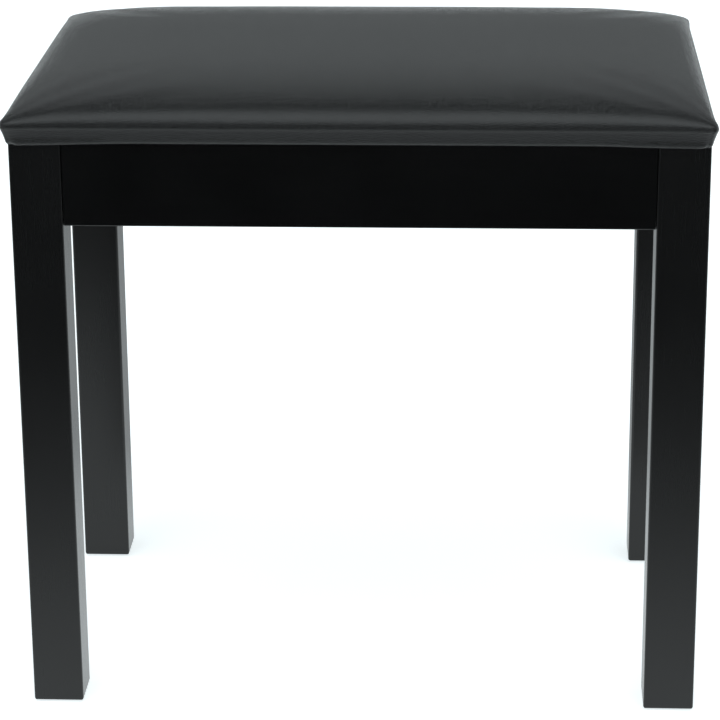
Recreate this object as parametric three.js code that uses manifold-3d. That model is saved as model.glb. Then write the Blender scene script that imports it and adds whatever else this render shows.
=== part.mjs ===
// Piano bench: four square legs, an apron frame with a shallow storage
// compartment, and a padded seat that is a lid hinged at the back.
// Millimetres, +Z up, front towards -Y, origin on the floor under the middle of the seat.
import * as THREE from "three";
import { mergeVertices } from "three/addons/utils/BufferGeometryUtils.js";
import Module from "manifold-3d";

const wasm = await Module();
wasm.setup();

// Driving dimensions
const FRAME_WIDTH = 520; // over the legs, X
const FRAME_DEPTH = 332; // over the legs, Y
const FRAME_BACK_SET = 2; // the frame's middle lies this far behind the seat's middle
const FRAME_TOP = 458; // top of legs and aprons
const LEG_SIDE = 39;
const LEG_ARRIS = 1.6; // rounding of the legs' edges
const LEG_CORE_CORNER = 0.4; // corner radius inside that rounding
const APRON_BOTTOM = 393;
const APRON_THICKNESS = 15;
const APRON_SET_BACK = 2; // behind the leg faces
const APRON_ARRIS = 1;
const SEAT_WIDTH = 523; // over the padding, X
const SEAT_DEPTH = 358; // over the padding, Y
const SEAT_CORNER = 9; // corner radius in plan, at the widest level
const TIGHTEST_CORNER = 2; // corner radius in plan of the innermost levels
const CORNER_TIGHTENING = 0.5; // how fast the radius falls as the outline moves in
const SEAT_TOP = 500;
const LID_BOTTOM = 459.5; // underside of the wrapped leatherette
const LEATHERETTE = 1;
const ROLL_HEIGHT = 20; // the padding's widest level, above the lid's underside
const CREASE_INSET = 4.4; // of the crease between board and roll, from the widest level
const LID_BOARD_THICKNESS = 12;
const LID_BOARD_CORNER = 5;
const WRAP_WIDTH = 35; // leatherette turned in under the board
const GAP = 0.3; // between touching pieces
const OVERRUN = 2; // how far a cutting form runs past the surface it cuts

// Glides, corner blocks and their bolts
const GLIDE_RADIUS = 12;
const GLIDE_THICKNESS = 1.2;
const BLOCK_BOTTOM = 395;
const BLOCK_TOP = 440;
const BLOCK_THICKNESS = 20;
const BLOCK_SEAT_CUT = 7; // how far the leg's inner edge is planed away along X and Y
const BLOCK_SEAT_MARGIN = 4; // how far it is planed past the block's ends
const BOLT_RADIUS = 3;
const BOLT_HEAD_RADIUS = 7.5;
const BOLT_HEAD_HEIGHT = 3.5;
const BOLT_SOCKET_RADIUS = 2.3; // to the corners of the hexagon socket
const BOLT_SOCKET_DEPTH = 2.4;
const BOLT_DEPTH_IN_LEG = 22;
const BOLT_HOLE_SPARE = 1; // the hole's depth past the bolt's end
const BOLT_HEIGHTS = { lower: 414, upper: 431 };

// Storage floor
const BATTEN_WIDTH = 10;
const BATTEN_HEIGHT = 8;
const BATTEN_BOTTOM = 394.3;
const BATTEN_END_GAP = 3; // from a batten's end to the corner block
const FLOOR_THICKNESS = 3;

// Hinges, mirrored about X = 0
const HINGE_CENTRE = 150;
const HINGE_LENGTH = 50;
const LEAF_THICKNESS = 1;
const LEAF_FRONT = 152.5; // front edge of both leaves, Y
const FIXED_LEAF_SINK = 0.1; // below the apron's top edge
const MOVING_LEAF_CLEARANCE = 0.2; // below the lid's underside
const FIXED_LEAF_BOTTOM = FRAME_TOP - FIXED_LEAF_SINK - LEAF_THICKNESS;
const MOVING_LEAF_BOTTOM = LID_BOTTOM - MOVING_LEAF_CLEARANCE - LEAF_THICKNESS;
const KNUCKLE_RADIUS = 2;
const KNUCKLE_GAP = 0.4;
const PIN_RADIUS = 0.85;
const PIN_PROUD = 1; // past the end knuckles
const SCREW_HEAD_RADIUS = 3;
const SCREW_RADIUS = 1.4;
const SCREW_LENGTH = 11;
const SCREW_SPACING = 17;
const SCREW_ROW = 158.5; // Y of the screws in both leaves

// Rest pads on the leg tops
const PAD_RADIUS = 6;
const PAD_THICKNESS = 0.9;

// Dust cover under the lid
const DUST_COVER_THICKNESS = 0.5;
const DUST_COVER_LAP = 5; // over the turned-in leatherette
const DUST_COVER_TO_HINGE = 11.5; // from its rear edge to the hinge leaves

// Derived places
const legOuterX = FRAME_WIDTH / 2;
const legInnerX = legOuterX - LEG_SIDE;
const legOuterV = FRAME_DEPTH / 2; // V is Y measured from the frame's middle
const legInnerV = legOuterV - LEG_SIDE;
const apronOuterX = legOuterX - APRON_SET_BACK;
const apronInnerX = apronOuterX - APRON_THICKNESS;
const apronOuterV = legOuterV - APRON_SET_BACK;
const apronInnerV = apronOuterV - APRON_THICKNESS;
const legBottom = GLIDE_THICKNESS + GAP;
const blockSeatSum = legInnerX + legInnerV + BLOCK_SEAT_CUT; // X + V on the leg's planed edge
const blockOuterSum = blockSeatSum - GAP * Math.SQRT2;
const blockInnerSum = blockOuterSum - BLOCK_THICKNESS * Math.SQRT2;
const boardBottom = LID_BOTTOM + LEATHERETTE + GAP;
const boardTop = boardBottom + LID_BOARD_THICKNESS;
const hingeY = FRAME_BACK_SET + legOuterV + GAP;
const hingeZ = LID_BOTTOM - GAP - KNUCKLE_RADIUS;

// Colour, roughness and metalness of each finish
const FINISHES = {
  black_paint: [0x0d0d0e, 0.45, 0],
  leatherette: [0x1c1d1e, 0.5, 0],
  plywood: [0xb08d62, 0.7, 0],
  foam: [0xd8cfa8, 0.95, 0],
  hardboard: [0x4a3020, 0.75, 0],
  dust_cloth: [0x161616, 0.95, 0],
  raw_wood: [0xc09a6b, 0.75, 0],
  zinc_steel: [0xa9abae, 0.35, 1],
  yellow_zinc_steel: [0x8f7a3e, 0.4, 1],
  rubber: [0x1a1a1a, 0.9, 0],
  nylon: [0x202020, 0.6, 0],
};

const bench = new THREE.Group();

// ---- Shape helpers -------------------------------------------------------

// A closed three.js geometry as a solid that can be joined and cut.
function solid(geometry) {
  const bare = geometry.clone();
  bare.deleteAttribute("normal");
  bare.deleteAttribute("uv");
  const merged = mergeVertices(bare, 1e-4);
  return new wasm.Manifold(new wasm.Mesh({
    numProp: 3,
    vertProperties: new Float32Array(merged.attributes.position.array),
    triVerts: new Uint32Array(merged.index.array),
  }));
}

function geometryOf(manifold) {
  const mesh = manifold.getMesh();
  const geometry = new THREE.BufferGeometry();
  geometry.setAttribute("position", new THREE.BufferAttribute(mesh.vertProperties, 3));
  geometry.setIndex(new THREE.BufferAttribute(mesh.triVerts, 1));
  geometry.computeVertexNormals();
  return geometry;
}

function addPiece(name, finish, shape) {
  const [color, roughness, metalness] = FINISHES[finish];
  const geometry = shape.isBufferGeometry ? shape : geometryOf(shape);
  const mesh = new THREE.Mesh(geometry, new THREE.MeshStandardMaterial({ color, roughness, metalness }));
  mesh.name = name;
  bench.add(mesh);
}

function box(low, high) {
  const size = high.map((value, i) => value - low[i]);
  const middle = high.map((value, i) => (value + low[i]) / 2);
  return new THREE.BoxGeometry(...size).translate(...middle);
}

// A cylinder from one point to another.
function rod(from, to, radius, segments = 16) {
  const start = new THREE.Vector3(...from);
  const run = new THREE.Vector3(...to).sub(start);
  const geometry = new THREE.CylinderGeometry(radius, radius, run.length(), segments);
  geometry.translate(0, run.length() / 2, 0);
  geometry.applyQuaternion(new THREE.Quaternion().setFromUnitVectors(
    new THREE.Vector3(0, 1, 0), run.clone().normalize()));
  return geometry.translate(...from);
}

// A rectangle with rounded corners, centred on the origin.
function roundedRectangle(width, depth, radius) {
  const [x, y] = [width / 2, depth / 2];
  const shape = new THREE.Shape();
  shape.moveTo(x, -y + radius);
  shape.lineTo(x, y - radius);
  shape.absarc(x - radius, y - radius, radius, 0, Math.PI / 2);
  shape.lineTo(-x + radius, y);
  shape.absarc(-x + radius, y - radius, radius, Math.PI / 2, Math.PI);
  shape.lineTo(-x, -y + radius);
  shape.absarc(-x + radius, -y + radius, radius, Math.PI, Math.PI * 1.5);
  shape.lineTo(x - radius, -y);
  shape.absarc(x - radius, -y + radius, radius, Math.PI * 1.5, Math.PI * 2);
  return shape;
}

function extrudeUp(shape, bottom, top, curveSegments = 3) {
  const settings = { depth: top - bottom, bevelEnabled: false, curveSegments };
  return new THREE.ExtrudeGeometry(shape, settings).translate(0, 0, bottom);
}

// A polygon in plan, from a list of [x, y], extruded upwards.
function prism(points, bottom, top) {
  return extrudeUp(new THREE.Shape(points.map(([x, y]) => new THREE.Vector2(x, y))), bottom, top);
}

// One ring of points round a rectangle with rounded corners, anticlockwise.
function roundedRing(width, depth, radius, height) {
  const steps = 4;
  const ring = [];
  for (const [quarter, [sideX, sideY]] of [[1, 1], [-1, 1], [-1, -1], [1, -1]].entries()) {
    for (let i = 0; i <= steps; i += 1) {
      const angle = (quarter + i / steps) * (Math.PI / 2);
      ring.push([
        sideX * (width / 2 - radius) + radius * Math.cos(angle),
        sideY * (depth / 2 - radius) + radius * Math.sin(angle),
        height,
      ]);
    }
  }
  return ring;
}

// A closed form through rounded rectangles, one for each [height, inset from the seat's outline].
function seatLoft(levels) {
  const rings = levels.map(([height, inset]) => roundedRing(
    SEAT_WIDTH - 2 * inset,
    SEAT_DEPTH - 2 * inset,
    Math.max(SEAT_CORNER - inset * CORNER_TIGHTENING, TIGHTEST_CORNER),
    height,
  ));
  const count = rings[0].length;
  const positions = rings.flat(2);
  const faces = [];
  for (let level = 0; level < rings.length - 1; level += 1) {
    for (let i = 0; i < count; i += 1) {
      const here = level * count + i;
      const next = level * count + ((i + 1) % count);
      faces.push(here, next, next + count, here, next + count, here + count);
    }
  }
  const last = (rings.length - 1) * count;
  for (let i = 1; i < count - 1; i += 1) {
    faces.push(0, i + 1, i);
    faces.push(last, last + i, last + i + 1);
  }
  const geometry = new THREE.BufferGeometry();
  geometry.setAttribute("position", new THREE.Float32BufferAttribute(positions, 3));
  geometry.setIndex(faces);
  return geometry;
}

// ---- Leg frame -----------------------------------------------------------

const CORNERS = {
  front_left: [-1, -1],
  front_right: [1, -1],
  rear_left: [-1, 1],
  rear_right: [1, 1],
};

// A point given in one corner's own directions (outwards X, outwards V) in the bench's frame.
function atCorner([sideX, sideY], x, v) {
  return [sideX * x, FRAME_BACK_SET + sideY * v];
}

// The line that both bolts of a corner lie on, at one height, from an inner to an outer X + V.
function boltLine(corner, height, innerSum, outerSum) {
  const offset = legInnerX - legInnerV;
  return [innerSum, outerSum].map((sum) => [
    ...atCorner(corner, (sum + offset) / 2, (sum - offset) / 2),
    height,
  ]);
}

function leg(corner) {
  const [x, y] = atCorner(corner, legOuterX - LEG_SIDE / 2, legOuterV - LEG_SIDE / 2);
  const coreSide = LEG_SIDE - 2 * LEG_ARRIS;
  const post = new THREE.ExtrudeGeometry(roundedRectangle(coreSide, coreSide, LEG_CORE_CORNER), {
    depth: FRAME_TOP - legBottom - 2 * LEG_ARRIS,
    bevelSize: LEG_ARRIS,
    bevelThickness: LEG_ARRIS,
    bevelSegments: 2,
    curveSegments: 1,
  }).translate(x, y, legBottom + LEG_ARRIS);
  const planedEdge = prism([
    atCorner(corner, blockSeatSum - legInnerV + OVERRUN, legInnerV - OVERRUN),
    atCorner(corner, legInnerX - OVERRUN, blockSeatSum - legInnerX + OVERRUN),
    atCorner(corner, legInnerX - OVERRUN, legInnerV - OVERRUN),
  ], BLOCK_BOTTOM - BLOCK_SEAT_MARGIN, BLOCK_TOP + BLOCK_SEAT_MARGIN);
  let body = solid(post).subtract(solid(planedEdge));
  for (const height of Object.values(BOLT_HEIGHTS)) {
    const endSum = blockSeatSum + (BOLT_DEPTH_IN_LEG + BOLT_HOLE_SPARE) * Math.SQRT2;
    const [from, to] = boltLine(corner, height, blockSeatSum - OVERRUN, endSum);
    body = body.subtract(solid(rod(from, to, BOLT_RADIUS + GAP, 12)));
  }
  return body;
}

function cornerBlock(corner) {
  const x = apronInnerX - GAP;
  const v = apronInnerV - GAP;
  const outline = [
    atCorner(corner, x, blockInnerSum - x),
    atCorner(corner, x, blockOuterSum - x),
    atCorner(corner, blockOuterSum - v, v),
    atCorner(corner, blockInnerSum - v, v),
  ];
  let body = solid(prism(outline, BLOCK_BOTTOM, BLOCK_TOP));
  for (const height of Object.values(BOLT_HEIGHTS)) {
    const [from, to] = boltLine(corner, height, blockInnerSum - OVERRUN, blockOuterSum + OVERRUN);
    body = body.subtract(solid(rod(from, to, BOLT_RADIUS + GAP, 12)));
  }
  return body;
}

// Furniture bolt with a flat round head and a hexagon socket, driven from inside the compartment.
function legBolt(corner, height) {
  const underHead = blockInnerSum - GAP * Math.SQRT2;
  const headFace = underHead - BOLT_HEAD_HEIGHT * Math.SQRT2;
  const tip = blockSeatSum + BOLT_DEPTH_IN_LEG * Math.SQRT2;
  const socketFloor = headFace + BOLT_SOCKET_DEPTH * Math.SQRT2;
  const [headStart, headEnd] = boltLine(corner, height, headFace, underHead);
  const [shankStart, shankEnd] = boltLine(corner, height, underHead - GAP, tip);
  const [socketStart, socketEnd] = boltLine(corner, height, headFace - OVERRUN, socketFloor);
  return solid(rod(headStart, headEnd, BOLT_HEAD_RADIUS, 20))
    .add(solid(rod(shankStart, shankEnd, BOLT_RADIUS, 12)))
    .subtract(solid(rod(socketStart, socketEnd, BOLT_SOCKET_RADIUS, 6)));
}

for (const [place, corner] of Object.entries(CORNERS)) {
  addPiece(`leg_${place}`, "black_paint", leg(corner));
}

for (const [place, corner] of Object.entries(CORNERS)) {
  addPiece(`corner_block_${place}`, "raw_wood", cornerBlock(corner));
  for (const [level, height] of Object.entries(BOLT_HEIGHTS)) {
    addPiece(`leg_bolt_${level}_${place}`, "zinc_steel", legBolt(corner, height));
  }
}

// An apron board of given length along X, its outer face towards -Y at Y = 0.
function apronBoard(length) {
  const height = FRAME_TOP - APRON_BOTTOM;
  const section = roundedRectangle(APRON_THICKNESS, height, APRON_ARRIS);
  const board = new THREE.ExtrudeGeometry(section, { depth: length, bevelEnabled: false, curveSegments: 2 });
  board.translate(APRON_THICKNESS / 2, 0, -length / 2);
  board.applyMatrix4(new THREE.Matrix4().makeBasis(
    new THREE.Vector3(0, 1, 0), new THREE.Vector3(0, 0, 1), new THREE.Vector3(1, 0, 0)));
  return board.translate(0, 0, APRON_BOTTOM + height / 2);
}

const longApron = 2 * (legInnerX - GAP);
const shortApron = 2 * (legInnerV - GAP);
const QUARTER = Math.PI / 2;

addPiece("apron_front", "black_paint",
  apronBoard(longApron).translate(0, FRAME_BACK_SET - apronOuterV, 0));
addPiece("apron_left", "black_paint",
  apronBoard(shortApron).rotateZ(-QUARTER).translate(-apronOuterX, FRAME_BACK_SET, 0));
addPiece("apron_right", "black_paint",
  apronBoard(shortApron).rotateZ(QUARTER).translate(apronOuterX, FRAME_BACK_SET, 0));

// The rear apron has a shallow recess for each fixed hinge leaf and pilot holes for its screws.
function rearApron() {
  let body = solid(apronBoard(longApron).rotateZ(Math.PI).translate(0, FRAME_BACK_SET + apronOuterV, 0));
  for (const side of [-1, 1]) {
    const half = HINGE_LENGTH / 2 + GAP;
    body = body.subtract(solid(box(
      [side * HINGE_CENTRE - half, LEAF_FRONT - GAP, FIXED_LEAF_BOTTOM - GAP],
      [side * HINGE_CENTRE + half, hingeY + OVERRUN, FRAME_TOP + OVERRUN])));
    for (const step of [-1, 0, 1]) {
      const x = side * HINGE_CENTRE + step * SCREW_SPACING;
      body = body.subtract(solid(rod(
        [x, SCREW_ROW, FIXED_LEAF_BOTTOM - SCREW_LENGTH],
        [x, SCREW_ROW, FRAME_TOP], SCREW_RADIUS + GAP, 10)));
    }
  }
  return body;
}
addPiece("apron_rear", "black_paint", rearApron());

for (const [place, corner] of Object.entries(CORNERS)) {
  const [x, y] = atCorner(corner, legOuterX - LEG_SIDE / 2, legOuterV - LEG_SIDE / 2);
  addPiece(`glide_${place}`, "nylon", rod([x, y, 0], [x, y, GLIDE_THICKNESS], GLIDE_RADIUS, 24));
  addPiece(`rest_pad_${place}`, "rubber",
    rod([x, y, FRAME_TOP + GAP], [x, y, FRAME_TOP + GAP + PAD_THICKNESS], PAD_RADIUS, 20));
}

// ---- Storage floor -------------------------------------------------------

const battenTop = BATTEN_BOTTOM + BATTEN_HEIGHT;
const floorBottom = battenTop + GAP;
const battenHalfX = blockInnerSum - apronInnerV - BATTEN_END_GAP;
const battenHalfV = blockInnerSum - apronInnerX - BATTEN_END_GAP;

for (const [place, side] of [["front", -1], ["rear", 1]]) {
  const faces = [apronInnerV - GAP, apronInnerV - GAP - BATTEN_WIDTH].map((v) => FRAME_BACK_SET + side * v);
  addPiece(`floor_batten_${place}`, "raw_wood", box(
    [-battenHalfX, Math.min(...faces), BATTEN_BOTTOM], [battenHalfX, Math.max(...faces), battenTop]));
}
for (const [place, side] of [["left", -1], ["right", 1]]) {
  const faces = [apronInnerX - GAP, apronInnerX - GAP - BATTEN_WIDTH].map((x) => side * x);
  addPiece(`floor_batten_${place}`, "raw_wood", box(
    [Math.min(...faces), FRAME_BACK_SET - battenHalfV, BATTEN_BOTTOM],
    [Math.max(...faces), FRAME_BACK_SET + battenHalfV, battenTop]));
}

// Hardboard floor with its corners cut off in front of the corner blocks.
function storageFloor() {
  const x = apronInnerX - 2 * GAP;
  const v = apronInnerV - 2 * GAP;
  const cut = blockInnerSum - 2 * GAP;
  const quarter = [[x, cut - x], [cut - v, v]];
  const outline = [
    ...quarter.map(([a, b]) => atCorner([1, 1], a, b)),
    ...quarter.map(([a, b]) => atCorner([-1, 1], a, b)).reverse(),
    ...quarter.map(([a, b]) => atCorner([-1, -1], a, b)),
    ...quarter.map(([a, b]) => atCorner([1, -1], a, b)).reverse(),
  ];
  return solid(prism(outline, floorBottom, floorBottom + FLOOR_THICKNESS));
}
addPiece("storage_floor", "hardboard", storageFloor());

// ---- Lid: board, foam, cover and dust cover ------------------------------

// Outer form of the padding: the wrapped board edge, the crease over it, and the roll,
// which overhangs the crease and turns over into a crowned top. [height, inset]
const roll = LID_BOTTOM + ROLL_HEIGHT;
const coverLevels = [
  [LID_BOTTOM, 7],
  [LID_BOTTOM + 1.5, 5.5],
  [LID_BOTTOM + 11, CREASE_INSET],
  [LID_BOTTOM + 12.6, CREASE_INSET],
  [LID_BOTTOM + 15.2, 2.4],
  [LID_BOTTOM + 17.4, 0.6],
  [roll, 0],
  [roll + 2, 0.8],
  [roll + 4.4, 3.5],
  [roll + 7.5, 9],
  [roll + 12, 22],
  [roll + 16.7, 48],
  [SEAT_TOP - 0.6, 95],
  [SEAT_TOP, 165],
];
const boardInset = coverLevels[0][1] + LEATHERETTE + GAP;
const foamBottom = boardTop + GAP;

// The same form a step further in: straight in below the roll, in and down above it.
function inward(levels, step) {
  return levels.map(([height, inset]) => [height >= roll ? height - step : height, inset + step]);
}
const coverInside = inward(coverLevels, LEATHERETTE).filter(([height]) => height > boardBottom);
const foamLevels = inward(coverInside, GAP).filter(([height]) => height > foamBottom);
const foamBottomInset = CREASE_INSET + LEATHERETTE + GAP;

function seatCover() {
  const hollow = seatLoft([[boardBottom - GAP, coverLevels[0][1] + LEATHERETTE], ...coverInside]);
  const opening = box(
    [-SEAT_WIDTH / 2 + WRAP_WIDTH, -SEAT_DEPTH / 2 + WRAP_WIDTH, LID_BOTTOM - OVERRUN],
    [SEAT_WIDTH / 2 - WRAP_WIDTH, SEAT_DEPTH / 2 - WRAP_WIDTH, boardBottom]);
  return solid(seatLoft(coverLevels)).subtract(solid(hollow)).subtract(solid(opening));
}

function lidBoard() {
  const outline = roundedRectangle(
    SEAT_WIDTH - 2 * boardInset, SEAT_DEPTH - 2 * boardInset, LID_BOARD_CORNER);
  return solid(extrudeUp(outline, boardBottom, boardTop));
}

// The moving leaves' screws pass through the wrapped leatherette into the board.
function drillForLidScrews(body) {
  let drilled = body;
  for (const side of [-1, 1]) {
    for (const step of [-1, 0, 1]) {
      const x = side * HINGE_CENTRE + step * SCREW_SPACING;
      drilled = drilled.subtract(solid(rod(
        [x, SCREW_ROW, LID_BOTTOM - OVERRUN],
        [x, SCREW_ROW, MOVING_LEAF_BOTTOM + SCREW_LENGTH + GAP], SCREW_RADIUS + GAP, 10)));
    }
  }
  return drilled;
}

addPiece("lid_board", "plywood", drillForLidScrews(lidBoard()));
addPiece("foam_pad", "foam", seatLoft([[foamBottom, foamBottomInset], ...foamLevels]));
addPiece("seat_cover", "leatherette", drillForLidScrews(seatCover()));

const dustCoverSide = SEAT_WIDTH / 2 - WRAP_WIDTH + DUST_COVER_LAP;
const dustCoverFront = -SEAT_DEPTH / 2 + WRAP_WIDTH - DUST_COVER_LAP;
addPiece("dust_cover", "dust_cloth", box(
  [-dustCoverSide, dustCoverFront, LID_BOTTOM - GAP - DUST_COVER_THICKNESS],
  [dustCoverSide, LEAF_FRONT - DUST_COVER_TO_HINGE, LID_BOTTOM - GAP]));

// ---- Hinges --------------------------------------------------------------

// One leaf with its knuckles; knuckleSpans lists [from, to] along X from the hinge's middle.
function hingeLeaf(centreX, bottom, knuckleSpans, clearSpans, screwTowards) {
  const half = HINGE_LENGTH / 2;
  let leaf = solid(box(
    [centreX - half, LEAF_FRONT, bottom], [centreX + half, hingeY, bottom + LEAF_THICKNESS]));
  for (const [from, to] of clearSpans) {
    leaf = leaf.subtract(solid(rod(
      [centreX + from - KNUCKLE_GAP, hingeY, hingeZ], [centreX + to + KNUCKLE_GAP, hingeY, hingeZ],
      KNUCKLE_RADIUS + KNUCKLE_GAP)));
  }
  for (const [from, to] of knuckleSpans) {
    leaf = leaf.add(solid(rod(
      [centreX + from, hingeY, hingeZ], [centreX + to, hingeY, hingeZ], KNUCKLE_RADIUS)));
  }
  leaf = leaf.subtract(solid(rod(
    [centreX - half - OVERRUN, hingeY, hingeZ], [centreX + half + OVERRUN, hingeY, hingeZ],
    PIN_RADIUS + GAP, 12)));
  for (const step of [-1, 0, 1]) {
    const x = centreX + step * SCREW_SPACING;
    leaf = leaf.subtract(solid(hingeScrewForm(x, bottom, screwTowards, GAP)));
  }
  return leaf;
}

// A countersunk screw in a leaf, or the hole for one when it is grown by a clearance.
// It points down into the apron or up into the lid, its head flush with the leaf's open face.
function hingeScrewForm(x, leafBottom, towards, grow) {
  const profile = [
    [0, grow],
    [SCREW_HEAD_RADIUS + grow, grow],
    [SCREW_RADIUS + grow, -LEAF_THICKNESS - grow],
    [SCREW_RADIUS + grow, -SCREW_LENGTH - grow],
    [0, -SCREW_LENGTH - grow],
  ].reverse().map(([radius, along]) => new THREE.Vector2(radius, along));
  const form = new THREE.LatheGeometry(profile, 14).rotateX(QUARTER);
  if (towards > 0) form.rotateX(Math.PI);
  const face = towards > 0 ? leafBottom : leafBottom + LEAF_THICKNESS;
  return form.translate(x, SCREW_ROW, face);
}

const third = HINGE_LENGTH / 3;
const endKnuckles = [
  [-HINGE_LENGTH / 2, -third / 2 - KNUCKLE_GAP / 2],
  [third / 2 + KNUCKLE_GAP / 2, HINGE_LENGTH / 2],
];
const middleKnuckle = [[-third / 2 + KNUCKLE_GAP / 2, third / 2 - KNUCKLE_GAP / 2]];
const SCREW_PLACES = { left: -1, middle: 0, right: 1 };

for (const [place, side] of [["left", -1], ["right", 1]]) {
  const centre = side * HINGE_CENTRE;
  addPiece(`hinge_fixed_leaf_${place}`, "zinc_steel",
    hingeLeaf(centre, FIXED_LEAF_BOTTOM, endKnuckles, middleKnuckle, -1));
  addPiece(`hinge_moving_leaf_${place}`, "zinc_steel",
    hingeLeaf(centre, MOVING_LEAF_BOTTOM, middleKnuckle, endKnuckles, 1));
  addPiece(`hinge_pin_${place}`, "zinc_steel", rod(
    [centre - HINGE_LENGTH / 2 - PIN_PROUD, hingeY, hingeZ],
    [centre + HINGE_LENGTH / 2 + PIN_PROUD, hingeY, hingeZ],
    PIN_RADIUS, 12));
  for (const [position, step] of Object.entries(SCREW_PLACES)) {
    const x = centre + step * SCREW_SPACING;
    addPiece(`apron_screw_${place}_${position}`, "yellow_zinc_steel",
      hingeScrewForm(x, FIXED_LEAF_BOTTOM, -1, 0));
    addPiece(`lid_screw_${place}_${position}`, "yellow_zinc_steel",
      hingeScrewForm(x, MOVING_LEAF_BOTTOM, 1, 0));
  }
}

export default bench;
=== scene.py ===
"""Piano bench: a painted leg frame and a padded seat that lifts as a lid over a compartment.

Lengths are metres in the bench's own frame: +X along its width, -Y towards the front, +Z up.
Run as a script it makes every piece in order. As an add-on's file it would list the same steps
in a panel in the 3D view's sidebar.
"""

import math

import bmesh
import bpy
import numpy as np
from bpy.props import FloatProperty, FloatVectorProperty, IntProperty, PointerProperty
from mathutils import Matrix, Vector


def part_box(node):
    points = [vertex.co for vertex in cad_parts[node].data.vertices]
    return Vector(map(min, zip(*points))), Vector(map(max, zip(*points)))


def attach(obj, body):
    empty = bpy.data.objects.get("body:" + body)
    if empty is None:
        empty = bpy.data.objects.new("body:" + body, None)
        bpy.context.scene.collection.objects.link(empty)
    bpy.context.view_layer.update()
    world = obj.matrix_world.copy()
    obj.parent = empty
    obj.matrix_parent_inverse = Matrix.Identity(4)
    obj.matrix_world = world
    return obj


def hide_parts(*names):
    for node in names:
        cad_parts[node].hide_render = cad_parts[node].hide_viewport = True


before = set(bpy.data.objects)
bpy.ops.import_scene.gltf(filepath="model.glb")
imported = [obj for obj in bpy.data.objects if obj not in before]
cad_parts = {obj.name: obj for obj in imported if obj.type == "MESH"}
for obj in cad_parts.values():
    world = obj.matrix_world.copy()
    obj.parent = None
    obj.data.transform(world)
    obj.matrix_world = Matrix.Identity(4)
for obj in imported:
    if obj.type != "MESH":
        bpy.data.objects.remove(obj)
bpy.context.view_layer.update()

bl_info = {
    "name": "Piano Bench",
    "version": (1, 0, 0),
    "blender": (4, 5, 0),
    "location": "View3D > Sidebar > Piano Bench",
    "description": "Makes a piano bench with a padded lid, one step for each group of pieces",
    "category": "Add Mesh",
}

MM = 0.001
FRAME_BODY = "frame"
LID_BODY = "lid"
CORNERS = {
    "front_left": (-1, -1),
    "front_right": (1, -1),
    "rear_left": (-1, 1),
    "rear_right": (1, 1),
}
SIDES = (("front", "x"), ("rear", "x"), ("left", "y"), ("right", "y"))  # each with its grain's axis


# ---- What a user would change ---------------------------------------------------------------


class BenchSizes(bpy.types.PropertyGroup):
    """Sizes of the pieces that the frame doesn't settle."""

    def length(name, description, millimetres):
        return FloatProperty(
            name=name, description=description, default=millimetres * MM, unit="LENGTH")

    arris: length("Arris", "Rounding of the painted edges' last corner", 0.45)
    leatherette: length("Leatherette", "Thickness of the seat's covering", 0.9)
    roll_height: length(
        "Roll height", "Height of the padding's widest level over the underside", 16.5)
    crown_reach: length("Crown reach", "Distance from the edge at which the padding is flat", 165)
    swell: length("Swell", "Most that the cloth simulation may move the covering", 2)
    pressure: FloatProperty(
        name="Pressure", description="Pressure of the foam under the covering", default=4.0)
    fold_depth: length("Fold depth", "Step of the folded layer at each corner", 0.8)
    pucker_depth: length("Pucker depth", "Depth of the small gathers beside the corners", 0.4)
    staple_spacing: length("Staple spacing", "Distance from staple to staple", 28)
    staple_turn: FloatProperty(
        name="Staple turn", description="How far a staple may sit out of line",
        default=math.radians(5), subtype="ANGLE")
    seed: IntProperty(name="Seed", description="Seed of the small irregularities", default=7)

    del length


class BenchColours(bpy.types.PropertyGroup):
    """Colours of the finishes, as linear values."""

    def colour(name, description, red, green, blue):
        return FloatVectorProperty(
            name=name, description=description, default=(red, green, blue, 1), size=4,
            subtype="COLOR", min=0, max=1)

    paint: colour("Paint", "Satin paint of the legs and aprons", 0.0011, 0.0011, 0.0012)
    leatherette: colour("Leatherette", "Covering of the seat", 0.0082, 0.0093, 0.0094)
    softwood: colour("Softwood", "Planed wood of the blocks and battens", 0.52, 0.34, 0.17)
    softwood_dark: colour("Softwood rings", "Late wood of the growth rings", 0.33, 0.17, 0.065)
    plywood: colour("Plywood", "Board inside the lid", 0.46, 0.31, 0.17)
    foam: colour("Foam", "Seat foam", 0.74, 0.66, 0.42)
    hardboard: colour("Hardboard", "Coated floor of the compartment", 0.02, 0.019, 0.018)
    dust_cloth: colour("Dust cloth", "Non-woven cloth under the lid", 0.012, 0.012, 0.013)
    zinc: colour("Zinc", "Bright plating", 0.60, 0.61, 0.63)
    yellow_zinc: colour("Yellow zinc", "Yellow plating of the wood screws", 0.66, 0.50, 0.22)
    rubber: colour("Rubber", "Rest pads", 0.02, 0.02, 0.02)
    nylon: colour("Nylon", "Glides under the legs", 0.03, 0.03, 0.03)

    del colour


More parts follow.
